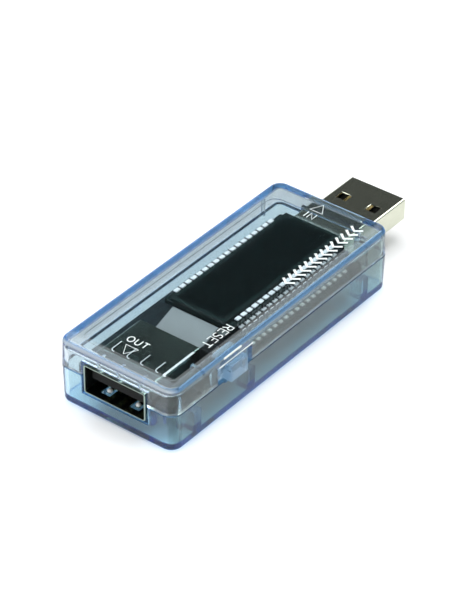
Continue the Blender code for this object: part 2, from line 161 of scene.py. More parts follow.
class Nodes:
    """A material's node tree, with short calls to add and link its nodes."""

    def __init__(self, name):
        self.material = bpy.data.materials.new(name)
        self.material.use_nodes = True
        self.tree = self.material.node_tree
        self.shader = self.tree.nodes["Principled BSDF"]
        self.output = self.tree.nodes["Material Output"]
        coordinates = self.add("ShaderNodeTexCoord")
        self.place = coordinates.outputs["Object"]
        self.normal = coordinates.outputs["Normal"]

    def add(self, kind, **settings):
        node = self.tree.nodes.new(kind)
        for key, value in settings.items():
            setattr(node, key, value)
        return node

    def link(self, start, end):
        self.tree.links.new(start, end)

    def feed(self, slot, value):
        """Link a node's output to the input, or set the input to a plain value."""
        if isinstance(value, bpy.types.NodeSocket):
            self.link(value, slot)
        else:
            slot.default_value = value

    def axis(self, vector, name):
        """One coordinate of a vector."""
        parts = self.add("ShaderNodeSeparateXYZ")
        self.link(vector, parts.inputs["Vector"])
        return parts.outputs[name]

    def compute(self, operation, *values):
        """The result of up to three values, each a number or a node's output."""
        step = self.add("ShaderNodeMath", operation=operation)
        for slot, value in zip(step.inputs, values):
            self.feed(slot, value)
        return step.outputs["Value"]

    def remap(self, value, start, end, low=0.0, high=1.0):
        """The range start..end of a value mapped to low..high."""
        change = self.add("ShaderNodeMapRange")
        change.inputs["From Min"].default_value = start
        change.inputs["From Max"].default_value = end
        change.inputs["To Min"].default_value = low
        change.inputs["To Max"].default_value = high
        self.link(value, change.inputs["Value"])
        return change.outputs["Result"]

    def noise(self, scale, detail=3.0, stretch=(1, 1, 1)):
        """A noise value whose features are about 1 / scale metres, stretched along the axes."""
        mapping = self.add("ShaderNodeMapping")
        mapping.inputs["Scale"].default_value = stretch
        self.link(self.place, mapping.inputs["Vector"])
        noise = self.add("ShaderNodeTexNoise")
        noise.inputs["Scale"].default_value = scale
        noise.inputs["Detail"].default_value = detail
        self.link(mapping.outputs["Vector"], noise.inputs["Vector"])
        return noise.outputs["Fac"]

    def ramp(self, value, stops):
        """Colour stops as (position, colour)."""
        ramp = self.add("ShaderNodeValToRGB")
        elements = ramp.color_ramp.elements
        while len(elements) < len(stops):
            elements.new(0.5)
        for element, (position, colour) in zip(elements, stops):
            element.position = position
            element.color = (*colour, 1.0)
        self.link(value, ramp.inputs["Fac"])
        return ramp.outputs["Color"]

    def mottle(self, noise, low, high):
        """A colour that a noise value moves between low and high."""
        return self.ramp(noise, [(NOISE_LOW, low), (NOISE_HIGH, high)])

    def spread(self, noise, low, high):
        """A noise value spread over low..high."""
        return self.remap(noise, NOISE_LOW, NOISE_HIGH, low, high)

    def bump(self, value, height, strength=1.0):
        bump = self.add("ShaderNodeBump")
        bump.inputs["Strength"].default_value = strength
        bump.inputs["Distance"].default_value = height
        self.link(value, bump.inputs["Height"])
        self.link(bump.outputs["Normal"], self.shader.inputs["Normal"])

    def diffuse(self, colour):
        coat = self.add("ShaderNodeBsdfDiffuse")
        self.feed(coat.inputs["Color"], colour)
        return coat.outputs["BSDF"]

    def blend(self, share, first, second):
        """Two shaders mixed, with this share of the second."""
        mix = self.add("ShaderNodeMixShader")
        self.feed(mix.inputs["Fac"], share)
        self.link(first, mix.inputs[1])
        self.link(second, mix.inputs[2])
        return mix.outputs["Shader"]


def surface(name, colour, roughness, metallic=0.0, scale=900, vary=0.12, grain=2500, depth=0.004,
            stretch=(1, 1, 1), specular=0.5):
    """An opaque material with mottled colour, uneven gloss and a fine surface grain depth mm deep."""
    nodes = Nodes(name)
    tone = nodes.mottle(nodes.noise(scale, 4.0, stretch), shade(colour, 1 - vary), shade(colour, 1 + vary))
    nodes.link(tone, nodes.shader.inputs["Base Color"])
    fine = nodes.noise(grain, 2.0, stretch)
    gloss = nodes.spread(fine, roughness * 0.8, min(1.0, roughness * 1.25))
    nodes.link(gloss, nodes.shader.inputs["Roughness"])
    nodes.shader.inputs["Metallic"].default_value = metallic
    nodes.shader.inputs["Specular IOR Level"].default_value = specular
    nodes.bump(fine, depth * MM)
    return nodes.material


# Clear plastic: how near an outer face still counts as the skin
EDGE_BAND = 1.3
# How far the square of the normal's upward part is from a half, where the rounded edges' share
# starts and where it is full
CURVE_START = 0.48
CURVE_FULL = 0.30
# The normal's part along an axis where a face starts to count as facing it, and where it does fully
FACING_START = -0.15
FACING_FULL = -0.7
LEVEL_NORMAL = 0.95
# Painted highlight, laid as a pale diffuse skin: its share on the rounded edges, on the socket's end and on
# the roof beside its recess
NEAR_EDGE_HIGHLIGHT = 0.20
END_EDGE_HIGHLIGHT = 0.40
END_FACE_HIGHLIGHT = 0.02
MARGIN_HIGHLIGHT = 0.11
# Painted shade darkening the smoke in the wall on the button's side, and painted light in the far wall,
# against the rest
NEAR_WALL_PAINTED_SHADE = (0.50, 0.57, 0.53)
FAR_WALL_PAINTED_LIGHT = 1.05
TONE_STEP = 0.02
PLASTIC_IOR = 1.5
COAT_IOR = 1.03
SCUFF_SCALE = 3500
SCUFFS = (0.7, 1.3)
FROST = (0.25, 0.38, 0.48, 1.0)
COLOURLESS = (1.0, 1.0, 1.0, 1.0)


def outer_share(nodes):
    """1 on the case's outer skin and 0 on the walls of its cavity."""
    size = nodes.add("ShaderNodeVectorMath", operation="ABSOLUTE")
    nodes.link(nodes.place, size.inputs[0])
    outwards = size.outputs["Vector"]
    at_end = nodes.compute("GREATER_THAN", nodes.axis(outwards, "X"), (HALF_LENGTH - EDGE_BAND) * MM)
    at_side = nodes.compute("GREATER_THAN", nodes.axis(outwards, "Y"), (HALF_WIDTH - EDGE_BAND) * MM)
    return nodes.compute("MAXIMUM", at_end, at_side)


def curved_share(nodes):
    """0 on level and upright faces and 1 on the rounded outer edges between them."""
    upward = nodes.axis(nodes.normal, "Z")
    square = nodes.compute("MULTIPLY", upward, upward)
    off_middle = nodes.compute("ABSOLUTE", nodes.compute("SUBTRACT", square, 0.5))
    share = nodes.remap(off_middle, CURVE_START, CURVE_FULL)
    return nodes.compute("MULTIPLY", share, outer_share(nodes))


def facing(nodes, axis):
    """1 where the skin faces the negative side of an axis, falling to 0 as it turns away."""
    return nodes.remap(nodes.axis(nodes.normal, axis), FACING_START, FACING_FULL)


def margin_share(nodes):
    """1 on the roof's level strip beside its recess, at the socket's end and the button's side, where
    painted highlight is laid.
    """
    at_end = nodes.compute("LESS_THAN", nodes.axis(nodes.place, "X"), RECESS_X[0] * MM)
    at_side = nodes.compute("LESS_THAN", nodes.axis(nodes.place, "Y"), -RECESS_Y * MM)
    level = nodes.compute("GREATER_THAN", nodes.axis(nodes.normal, "Z"), LEVEL_NORMAL)
    return nodes.compute("MULTIPLY", nodes.compute("MAXIMUM", at_end, at_side), level)


def edge_highlight_share(nodes, end):
    """How much painted highlight the skin gets: most on the socket end's rounded edge, then on the button
    side's.
    """
    near = nodes.compute("MULTIPLY", facing(nodes, "Y"), NEAR_EDGE_HIGHLIGHT)
    edges = nodes.compute("MULTIPLY_ADD", end, END_EDGE_HIGHLIGHT, near)
    faces = nodes.compute("MULTIPLY", nodes.compute("MULTIPLY", end, END_FACE_HIGHLIGHT), outer_share(nodes))
    flat = nodes.compute("MULTIPLY_ADD", margin_share(nodes), MARGIN_HIGHLIGHT, faces)
    return nodes.compute("MULTIPLY_ADD", curved_share(nodes), edges, flat)


def add_edge_highlight(nodes, plastic, edge_colour, end_colour):
    """Lay the painted highlight, a pale diffuse skin, over the plastic."""
    end = facing(nodes, "X")
    tone = nodes.compute("MAXIMUM", end, margin_share(nodes))
    highlight_skin = nodes.diffuse(nodes.ramp(tone, [(0.0, edge_colour), (1.0, end_colour)]))
    return nodes.blend(edge_highlight_share(nodes, end), plastic, highlight_skin)


def smoke_with_painted_shade(nodes, smoke):
    """The smoke's colour, darker in the wall on the button's side as painted shade and lighter in the far
    wall as painted light.
    """
    across = nodes.remap(nodes.axis(nodes.place, "Y"), -HALF_WIDTH * MM, HALF_WIDTH * MM)
    wall = SIDE_WALL / (2 * HALF_WIDTH)
    near = tuple(channel * share for channel, share in zip(smoke, NEAR_WALL_PAINTED_SHADE))
    far = shade(smoke, FAR_WALL_PAINTED_LIGHT)
    return nodes.ramp(across, [(wall, near), (wall + TONE_STEP, smoke),
                               (1 - wall - TONE_STEP, smoke), (1 - wall, far)])


def clear_plastic(name, tint, density, roughness, smoke=None, edge_coat=None, edge_highlight=None, milk=0.0):
    """Tinted clear plastic whose colour builds up with depth.

    The roughness is (inside, outer skin) and each wall passes the smoke's share, with painted shade in the
    wall on the button's side and painted light in the far wall.
    The edge highlight's two colours paint a highlight, a pale diffuse skin on the rounded edges on the
    button's side and on the socket's end. Milk is the frosted share.
    Lamps' shadow rays pass straight through and light what is inside.
    """
    nodes = Nodes(name)
    shader = nodes.shader
    nodes.feed(shader.inputs["Base Color"], smoke_with_painted_shade(nodes, smoke) if smoke else COLOURLESS)
    shader.inputs["Transmission Weight"].default_value = 1.0
    shader.inputs["IOR"].default_value = PLASTIC_IOR
    if edge_coat:
        shader.inputs["Coat IOR"].default_value = COAT_IOR
        shader.inputs["Coat Tint"].default_value = (*edge_coat, 1.0)
        nodes.link(curved_share(nodes), shader.inputs["Coat Weight"])
    scuffs = nodes.spread(nodes.noise(SCUFF_SCALE, 2.0), *SCUFFS)
    gloss = nodes.remap(outer_share(nodes), 0.0, 1.0, *roughness)
    nodes.link(nodes.compute("MULTIPLY", gloss, scuffs), shader.inputs["Roughness"])
    plastic = shader.outputs["BSDF"]
    if edge_highlight:
        plastic = add_edge_highlight(nodes, plastic, *edge_highlight)
    if milk:
        plastic = nodes.blend(milk, plastic, nodes.diffuse(FROST))
    through = nodes.add("ShaderNodeBsdfTransparent").outputs["BSDF"]
    shadow_ray = nodes.add("ShaderNodeLightPath").outputs["Is Shadow Ray"]
    nodes.link(nodes.blend(shadow_ray, plastic, through), nodes.output.inputs["Surface"])
    absorb = nodes.add("ShaderNodeVolumeAbsorption")
    absorb.inputs["Color"].default_value = (*tint, 1.0)
    absorb.inputs["Density"].default_value = density
    nodes.link(absorb.outputs["Volume"], nodes.output.inputs["Volume"])
    return nodes.material


def board_material():
    """Solder mask over fibre cloth: dark green with slightly raised copper tracks."""
    nodes = Nodes("solder_mask")
    base = linear(7, 20, 24)
    tone = nodes.mottle(nodes.noise(600, 3.0), shade(base, 0.85), shade(base, 1.15))
    tracks = nodes.add("ShaderNodeTexBrick")
    tracks.inputs["Scale"].default_value = 160
    tracks.inputs["Mortar Size"].default_value = 0.05
    tracks.inputs["Mortar Smooth"].default_value = 0.3
    nodes.link(nodes.place, tracks.inputs["Vector"])
    mix = nodes.add("ShaderNodeMix", data_type="RGBA")
    nodes.link(tracks.outputs["Fac"], mix.inputs["Factor"])
    nodes.link(tone, mix.inputs["A"])
    mix.inputs["B"].default_value = (*linear(12, 30, 33), 1.0)
    nodes.link(mix.outputs["Result"], nodes.shader.inputs["Base Color"])
    nodes.shader.inputs["Roughness"].default_value = 0.4
    nodes.shader.inputs["Specular IOR Level"].default_value = 0.3
    nodes.bump(tracks.outputs["Fac"], 0.02 * MM, 0.6)
    return nodes.material


def display_material():
    """Black LCD under polished glass, with slightly uneven colour and gloss."""
    nodes = Nodes("display_black")
    tone = nodes.mottle(nodes.noise(90, 2.0), linear(1, 10, 10), linear(3, 14, 14))
    nodes.link(tone, nodes.shader.inputs["Base Color"])
    gloss = nodes.spread(nodes.noise(1200, 3.0), 0.06, 0.10)
    nodes.link(gloss, nodes.shader.inputs["Roughness"])
    return nodes.material


# The upper half's pale skin colours, blue on the button side's rounded edge and pale grey on the socket
# end's, are a painted highlight.
UPPER_CLEAR = clear_plastic("clear_upper_plastic", tint=(0.03, 0.35, 0.70), density=72,
                            roughness=(0.03, 0.10), smoke=(0.72, 0.76, 0.76),
                            edge_coat=(0.60, 0.77, 0.96),
                            edge_highlight=((0.22, 0.47, 0.75), (0.72, 0.78, 0.80)))
LOWER_CLEAR = clear_plastic("clear_lower_plastic", tint=(0.02, 0.50, 0.86), density=125,
                            roughness=(0.03, 0.14), smoke=(0.72, 0.82, 0.82),
                            edge_coat=(0.42, 0.64, 0.84))
BUTTON_CLEAR = clear_plastic("clear_button_plastic", tint=(0.20, 0.50, 0.75), density=90,
                             roughness=(0.04, 0.08), milk=0.28)
STEEL = surface("plated_steel", linear(200, 202, 184), 0.18, 1.0, scale=700, vary=0.06,
                grain=1800, depth=0.0015, stretch=(1, 6, 6))
# A darker copy of the plated steel for the socket inside the case: painted shade
SHADED_SOCKET_STEEL = surface("socket_steel_painted_shade", linear(146, 162, 152), 0.17, 1.0, scale=300, vary=0.03,
                       grain=1800, depth=0.0003)
GOLD = surface("gold_flash", linear(190, 168, 120), 0.28, 1.0, scale=1500, vary=0.1)
# Near-white, barely metallic tin of the pins' jaws, partly tin and partly painted highlight; also the
# socket's painted slit highlights
TIN_WITH_PAINTED_HIGHLIGHT = surface("tinned_clip_painted_highlight", linear(242, 244, 242), 0.42, 0.2, scale=2500, vary=0.08)
# A darker copy of the pins' tin for their legs: painted shade
SHADED_LEG_TIN = surface("tinned_leg_painted_shade", linear(70, 73, 70), 0.4, 0.6, scale=2500, vary=0.12)
SOLDER = surface("solder", linear(150, 152, 150), 0.3, 1.0, scale=2500, vary=0.12, depth=0.01)
# Black moulding of the insulators and the switch, also the dark sheet of painted shade inside the socket
BLACK_MOULDING_AND_SHADE = surface("black_moulding_and_painted_shade", linear(10, 12, 12), 0.5, grain=5000, depth=0.006,
                        specular=0.15)
# White moulding of the switch's plunger, also the pale painted highlights at the button's window
WHITE_MOULDING_AND_HIGHLIGHT = surface("white_moulding_and_painted_highlight", linear(228, 228, 222), 0.4, vary=0.04)
CHIP = surface("chip_epoxy", linear(34, 35, 37), 0.55, grain=6000, depth=0.008)
CERAMIC = surface("chip_ceramic", linear(150, 118, 82), 0.5, grain=5000, depth=0.006)
CAN_METAL = surface("crystal_can", linear(200, 200, 196), 0.28, 1.0, scale=900)
FLAP_FILM = surface("diffusing_film", linear(142, 148, 146), 0.6, scale=350, vary=0.025)
GUIDE_ACRYLIC = surface("light_guide", linear(196, 206, 200), 0.35, vary=0.05)
PHOSPHOR = surface("led_phosphor", linear(226, 206, 96), 0.35, scale=2500)
INK = surface("white_ink", linear(232, 240, 240), 0.5, scale=3500, vary=0.06, grain=9000)
# Near-white tin of the board's edge pads, also painted highlights on the socket's bend and on its bumps
WHITE_TIN_AND_HIGHLIGHT = surface("bright_tin_and_painted_highlight", linear(250, 250, 246), 0.3, 0.1, scale=2500, vary=0.05)
RESIN = surface("pin_resin", linear(44, 58, 54), 0.25, scale=1500, vary=0.1, depth=0.01)
GLASS_EDGE = surface("glass_edge", linear(18, 34, 32), 0.18, scale=500, vary=0.15, depth=0.001)
BOARD_MASK = board_material()
DISPLAY = display_material()


# ---------------------------------------------------------------- mesh tools

CORNER_STEPS = 14
DOME_SEGMENTS = 20
DOME_ROWS = 12
EDGE_ANGLE = math.radians(50)


def mesh_object(name, bm):
    """A scene object made of the bmesh, which is used up."""
    mesh = bpy.data.meshes.new(name)
    bmesh.ops.recalc_face_normals(bm, faces=bm.faces)
    bm.to_mesh(mesh)
    bm.free()
    piece = bpy.data.objects.new(name, mesh)
    bpy.context.scene.collection.objects.link(piece)
    return piece


def box_points(bm, xs, ys, zs):
    """Add a box given in millimetres to a bmesh."""
    made = bmesh.ops.create_cube(bm, size=1.0)["verts"]
    size = [(high - low) * MM for low, high in (xs, ys, zs)]
    centre = [(high + low) / 2 * MM for low, high in (xs, ys, zs)]
    bmesh.ops.scale(bm, vec=size, verts=made)
    bmesh.ops.translate(bm, vec=centre, verts=made)


def boxes(name, *specs):
    """One object of one or more boxes, each given as (xs, ys, zs) in millimetres."""
    bm = bmesh.new()
    for xs, ys, zs in specs:
        box_points(bm, xs, ys, zs)
    return mesh_object(name, bm)


def ring(half_x, half_y, radius, z, steps=CORNER_STEPS):
    """A rounded rectangle's points at one height, in millimetres."""
    points = []
    for quarter, (side_x, side_y) in enumerate(((1, 1), (-1, 1), (-1, -1), (1, -1))):
        for step in range(steps + 1):
            angle = math.pi / 2 * (quarter + step / steps)
            points.append((side_x * (half_x - radius) + radius * math.cos(angle),
                           side_y * (half_y - radius) + radius * math.sin(angle), z))
    return points


def skin(bm, rings, closed=False):
    """Faces from each ring to the next, and from the last to the first when closed."""
    rows = [[bm.verts.new([value * MM for value in point]) for point in row] for row in rings]
    nexts = rows[1:] + rows[:1] if closed else rows[1:]
    for below, above in zip(rows, nexts):
        for i in range(len(below)):
            j = (i + 1) % len(below)
            bm.faces.new((below[i], below[j], above[j], above[i]))
    return rows


def loft(name, rings):
    """A closed solid through rings with the same number of points, capped at both ends."""
    bm = bmesh.new()
    rows = skin(bm, rings)
    bm.faces.new(rows[0][::-1])
    bm.faces.new(rows[-1])
    return mesh_object(name, bm)


def dome(name, centre, radii):
    """A pressed bump: a flattened ball whose lower half sits in the sheet."""
    def point(lean, turn):
        return (centre[0] + radii[0] * math.sin(lean) * math.cos(turn),
                centre[1] + radii[1] * math.sin(lean) * math.sin(turn),
                centre[2] + radii[2] * math.cos(lean))

    turns = [2 * math.pi * step / DOME_SEGMENTS for step in range(DOME_SEGMENTS)]
    leans = [math.pi * step / DOME_ROWS for step in range(1, DOME_ROWS)]
    bm = bmesh.new()
    rows = skin(bm, [[point(lean, turn) for turn in turns] for lean in leans])
    for row, lean in ((rows[0], 0), (rows[-1], math.pi)):
        pole = bm.verts.new([value * MM for value in point(lean, 0)])
        for i in range(DOME_SEGMENTS):
            bm.faces.new((pole, row[i - 1], row[i]))
    piece = mesh_object(name, bm)
    piece.data.shade_smooth()
    return piece


def bake(piece):
    """Replace the piece's mesh by what its modifiers make of it."""
    graph = bpy.context.evaluated_depsgraph_get()
    mesh = bpy.data.meshes.new_from_object(piece.evaluated_get(graph))
    piece.modifiers.clear()
    piece.data = mesh


def combine(piece, helper, operation):
    """Cut the helper from the piece, or join it, and delete the helper."""
    modifier = piece.modifiers.new("combine", "BOOLEAN")
    modifier.operation = operation
    modifier.object = helper
    modifier.solver = "EXACT"
    bake(piece)
    bpy.data.objects.remove(helper, do_unlink=True)


def cut(piece, xs, ys, zs):
    combine(piece, boxes("cutter", (xs, ys, zs)), "DIFFERENCE")


def join(piece, xs, ys, zs):
    combine(piece, boxes("joiner", (xs, ys, zs)), "UNION")


def bevel(piece, width, segments):
    modifier = piece.modifiers.new("soft_edges", "BEVEL")
    modifier.width = width * MM
    modifier.segments = segments
    modifier.limit_method = "ANGLE"
    modifier.angle_limit = EDGE_ANGLE
    return modifier


def round_off(piece, width, segments=2):
    """Round every sharp edge, in millimetres."""
    bevel(piece, width, segments).use_clamp_overlap = True
    bake(piece)


def smooth(piece, angle=40):
    """Smooth shading that keeps flat faces flat."""
    piece.data.shade_smooth()
    piece.data.set_sharp_from_angle(angle=math.radians(angle))
    modifier = piece.modifiers.new("flat_faces", "WEIGHTED_NORMAL")
    modifier.keep_sharp = True
    modifier.weight = 80


def finish(piece, width, segments=2):
    """Rounded edges and smooth shading."""
    round_off(piece, width, segments)
    smooth(piece)


def settle(piece, body, slot, material, *nodes):
    """Give the piece its material and body, and let it stand for CAD nodes. The slot is not used."""
    piece.data.materials.clear()
    piece.data.materials.append(material)
    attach(piece, body)
    if nodes:
        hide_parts(*nodes)


def repaint(node, material, width=0.06):
    """Give a CAD node a finished material and softened edges."""
    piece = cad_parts[node]
    piece.data.materials.clear()
    piece.data.materials.append(material)
    bevel(piece, width, 2)


# ---------------------------------------------------------------- case

def arc(steps):
    """Angles of a quarter turn, in radians."""
    return [math.pi / 2 * step / steps for step in range(steps + 1)]


def case_rings(profile, half_x, half_y, corner):
    """Rounded rectangles at the profile's (inset, height) points."""
    return [
        ring(half_x - inset, half_y - inset, max(corner - inset, SMALLEST_CORNER), z)
        for inset, z in profile
    ]


def case_half(name, inner, outer):
    """A shell between its cavity's profile and its outer profile, which meet at the rim."""
    shell = loft(name, case_rings(inner, CAVITY_X, CAVITY_Y, CAVITY_CORNER)
                 + case_rings(outer, HALF_LENGTH, HALF_WIDTH, CORNER_RADIUS))
    past = HALF_LENGTH + PAST
    cut(shell, (-past, PAST - CAVITY_X), widen(SOCKET[1], SOCKET_GAP_Y), widen(SOCKET[2], SOCKET_GAP_Z))
    cut(shell, (CAVITY_X - PAST, past), widen(PLUG[1], GAP), widen(PLUG[2], GAP))
    return shell


def build_upper_shell():
    rim = PARTING + PARTING_GAP
    inner = [(CEILING_FILLET * (1 - math.cos(a)), CEILING - CEILING_FILLET * (1 - math.sin(a)))
             for a in reversed(arc(FILLET_STEPS))] + [(0, rim)]
    shoulder = TOP - TOP_FILLET
    outer = [(RIM_EDGE, rim), (0.0, rim + RIM_EDGE)]
    outer += [(TOP_DRAFT + TOP_FILLET * (1 - math.cos(a)), shoulder + TOP_FILLET * math.sin(a))
              for a in arc(FILLET_STEPS)]
    shell = case_half("case_upper", inner, outer)
    middle = sum(RECESS_X) / 2
    half = (RECESS_X[1] - RECESS_X[0]) / 2
    recess = loft("recess", [
        [(x + middle, y, z) for x, y, z in ring(half, RECESS_Y, RECESS_CORNER, level)]
        for level in (CEILING - PAST, CEILING + RECESS_DEPTH)
    ])
    combine(shell, recess, "DIFFERENCE")
    cut(shell, WINDOW_X, (-HALF_WIDTH - PAST, PAST - CAVITY_Y), (PARTING - PAST, BUTTON[2][1] + WINDOW_GAP))
    for x in UPPER_RIB_X:
        join(shell, span(x, UPPER_RIB_HALF), UPPER_RIB_Y, (BOARD[2][1] + GAP, CEILING + SINK))
    join(shell, SNAP_X, (SNAP_Y, CAVITY_Y + SINK), (PARTING + PARTING_RISE, CEILING + SINK))
    for y in END_SLIT_Y:
        cut(shell, (-HALF_LENGTH + END_SLIT_WALL, PAST - CAVITY_X), span(y, END_SLIT_HALF),
            (SOCKET[2][1], CEILING + END_SLIT_DEPTH))
    finish(shell, width=0.08, segments=1)
    settle(shell, "case", "case_plastic", UPPER_CLEAR, "upper_shell")


def build_lower_shell():
    rim = PARTING - PARTING_GAP
    inner = [(FLOOR_FILLET * (1 - math.cos(a)), FLOOR + FLOOR_FILLET * (1 - math.sin(a)))
             for a in reversed(arc(FLOOR_FILLET_STEPS))] + [(0, rim)]
    outer = [(RIM_EDGE, rim), (0.0, rim - RIM_EDGE)]
    outer += [(BOTTOM_DRAFT + BOTTOM_FILLET * (1 - math.cos(a)), BOTTOM_FILLET * (1 - math.sin(a)))
              for a in arc(FILLET_STEPS)]
    shell = case_half("case_lower", inner, outer)
    cut(shell, WEB_SLOT_X, (-HALF_WIDTH - PAST, PAST - CAVITY_Y), (BUTTON[2][0] - GAP, PARTING + PAST))
    root = FLOOR - FLOOR_SINK
    for side in (-1, 1):
        for x in LOWER_RIB_X:
            join(shell, span(x, LOWER_RIB_HALF), beside(side, LOWER_RIB_Y, CAVITY_Y + SINK),
                 (root, BOARD[2][0] - GAP))
    for x in SOCKET_REST_X:
        join(shell, span(x, SOCKET_REST_HALF), span(0, SOCKET_REST_REACH), (root, SOCKET[2][0] - GAP))
    join(shell, PLUG_REST_X, span(0, PLUG_REST_REACH), (root, PLUG[2][0] - GAP))
    finish(shell, width=0.08, segments=1)
    settle(shell, "case", "case_plastic", LOWER_CLEAR, "lower_shell")


# ---------------------------------------------------------------- connectors

SHEET = 0.3
SHEET_LIP = 0.07
SHEET_EDGE = 0.05
SHEET_ANGLE = 35
BEND_STEPS = 6
SOCKET_BEND = 0.55
PLUG_BEND = 0.5
# Spring fingers: from tip to root, from inner to outer slit, and the slits' width
FINGER_X = (-25.3, -22.5)
FINGER_Y = (1.45, 4.65)
SLIT = 0.36
# Painted highlights on the lit side of each slit: gap from the slit, width and hooked end
SLIT_HIGHLIGHT_GAP = 0.07
SLIT_HIGHLIGHT_WIDTH = 0.17
SLIT_HIGHLIGHT_TURN = (0.7, 0.6)
# Painted highlight along the socket's near upper bend, beside the fingers
FOLD_HIGHLIGHT_X = (-17.5, -25.2)
FOLD_HIGHLIGHT_Y = -6.35
FOLD_HIGHLIGHT_TURN = (0.25, 0.2)
FOLD_HIGHLIGHT_WIDTH = 0.46
# Lower contacts, in windows of the socket's lower wall
SOCKET_WINDOW_X = (-29.1, -27.0)
SOCKET_WINDOW_Y = (2.1, 4.1)
SPRING_X = (-28.4, -26.6)
SPRING_Y = 3.1
SPRING_HALF = 0.45
SPRING_LIFT = 0.05
BUMP_X = -27.9
BUMP_Y = 3.05
BUMP_RADII = (0.5, 0.5, 0.5)
# Painted shade: a dark sheet inside the socket's upper and side walls
INNER_SHADE_X = (-30.1, -16.2)
INNER_SHADE_TOP_REACH = 5.9
INNER_SHADE_TOP_DEPTH = (0.4, 0.34)
INNER_SHADE_SIDE_Y = (6.16, 6.22)
INNER_SHADE_MARGIN = 0.6
PLUG_HOLE_X = (37.04, 39.04)
PLUG_HOLE_Y = (2.1, 4.3)
PLUG_SEAM_HALF = 0.04
PLUG_SEAM_TOP = 0.5
INSULATOR_EDGE = 0.12
CONTACT_EDGE = 0.05


def folded_tube(name, box, radius):
    """A sheet-metal tube along X with rounded long edges, open at both ends."""
    (x0, x1), ys, zs = box
    half_y = (ys[1] - ys[0]) / 2
    half_z = (zs[1] - zs[0]) / 2
    middle = (zs[0] + zs[1]) / 2

    def section(x, inset):
        points = ring(half_y - inset, half_z - inset, radius - inset, 0, BEND_STEPS)
        return [(x, y, middle + z) for y, z, _ in points]

    outline = ((x0 + SHEET_LIP, 0), (x1 - SHEET_LIP, 0), (x1, SHEET_LIP), (x1, SHEET - SHEET_LIP),
               (x1 - SHEET_LIP, SHEET), (x0 + SHEET_LIP, SHEET), (x0, SHEET - SHEET_LIP), (x0, SHEET_LIP))
    bm = bmesh.new()
    skin(bm, [section(x, inset) for x, inset in outline], closed=True)
    return mesh_object(name, bm)


def finish_sleeve(shell):
    round_off(shell, SHEET_EDGE, 1)
    smooth(shell, SHEET_ANGLE)


def build_socket_shell():
    shell = folded_tube("socket_sleeve", SOCKET, SOCKET_BEND)
    through = widen(SOCKET[2], PAST)
    tip, root = FINGER_X
    for side in (-1, 1):
        across = beside(side, *FINGER_Y)
        for y in across:
            cut(shell, (tip - SLIT / 2, root), span(y, SLIT / 2), through)
        cut(shell, (tip - SLIT, tip), across, through)
        cut(shell, SOCKET_WINDOW_X, beside(side, *SOCKET_WINDOW_Y), span(SOCKET[2][0], PAST))
    finish_sleeve(shell)
    settle(shell, "case", "plated_steel", SHADED_SOCKET_STEEL, "socket_shell")


def build_socket_highlights():
    """Painted highlights: bright lines along the lit cut edges of the spring fingers, and along the bend
    beside them.
    """
    tip, root = FINGER_X
    depth, turn = SLIT_HIGHLIGHT_TURN
    edges = []
    for y in (-FINGER_Y[1], -FINGER_Y[0], *FINGER_Y):
        edge = y + SLIT / 2 + SLIT_HIGHLIGHT_GAP
        edges.append([(root, edge), (tip + turn, edge)]
                     + bend((tip + turn, edge - turn), (depth, turn), 90, 200, 8))
    print_strokes("socket_slit_highlights", edges, SLIT_HIGHLIGHT_WIDTH, SOCKET[2][1], TIN_WITH_PAINTED_HIGHLIGHT, "plated_steel")
    fold_highlight = [(x, FOLD_HIGHLIGHT_Y) for x in FOLD_HIGHLIGHT_X] + bend((FOLD_HIGHLIGHT_X[1], FOLD_HIGHLIGHT_Y - FOLD_HIGHLIGHT_TURN[1]), FOLD_HIGHLIGHT_TURN, 90, 250, 6)
    print_strokes("socket_fold_highlight", [fold_highlight], FOLD_HIGHLIGHT_WIDTH, SOCKET[2][1], WHITE_TIN_AND_HIGHLIGHT, "plated_steel")


def build_socket_contacts():
    low = SOCKET[2][0]
    for label, side in (("near", -1), ("far", 1)):
        arm = boxes(f"socket_spring_{label}", (SPRING_X, span(side * SPRING_Y, SPRING_HALF),
                                               (low + SPRING_LIFT, low + SHEET)))
        finish(arm, width=0.06)
        settle(arm, "case", "plated_steel", SHADED_SOCKET_STEEL)
        # The bumps are near-white: a painted highlight inside the socket's mouth
        bump = dome(f"socket_bump_{label}", (BUMP_X, side * BUMP_Y, low + SHEET), BUMP_RADII)
        settle(bump, "case", "plated_steel", WHITE_TIN_AND_HIGHLIGHT)


def build_socket():
    build_socket_shell()
    build_socket_highlights()
    build_socket_contacts()
    low, high = SOCKET[2]
    upright = (low + INNER_SHADE_MARGIN, high - INNER_SHADE_MARGIN)
    roof = [high - depth for depth in INNER_SHADE_TOP_DEPTH]
    # A dark sheet inside the socket's walls: painted shade in its mouth
    inner_shade = boxes("socket_inner_shade", (INNER_SHADE_X, span(0, INNER_SHADE_TOP_REACH), roof),
                   *((INNER_SHADE_X, beside(side, *INNER_SHADE_SIDE_Y), upright) for side in (-1, 1)))
    smooth(inner_shade)
    settle(inner_shade, "case", "plated_steel", BLACK_MOULDING_AND_SHADE)
    repaint("socket_insulator", BLACK_MOULDING_AND_SHADE, INSULATOR_EDGE)
    for number in range(1, 5):
        repaint(f"socket_contact_{number}", GOLD, CONTACT_EDGE)


def build_plug():
    shell = folded_tube("plug_sleeve", PLUG, PLUG_BEND)
    for side in (-1, 1):
        cut(shell, PLUG_HOLE_X, beside(side, *PLUG_HOLE_Y), widen(PLUG[2], PAST))
    low = PLUG[2][0]
    cut(shell, widen(PLUG[0], PAST), span(0, PLUG_SEAM_HALF), (low - PAST, low + PLUG_SEAM_TOP))
    finish_sleeve(shell)
    settle(shell, "case", "plated_steel", STEEL, "plug_shell")
    repaint("plug_insulator", BLACK_MOULDING_AND_SHADE, INSULATOR_EDGE)
    for number in range(1, 5):
        repaint(f"plug_contact_{number}", GOLD, CONTACT_EDGE)


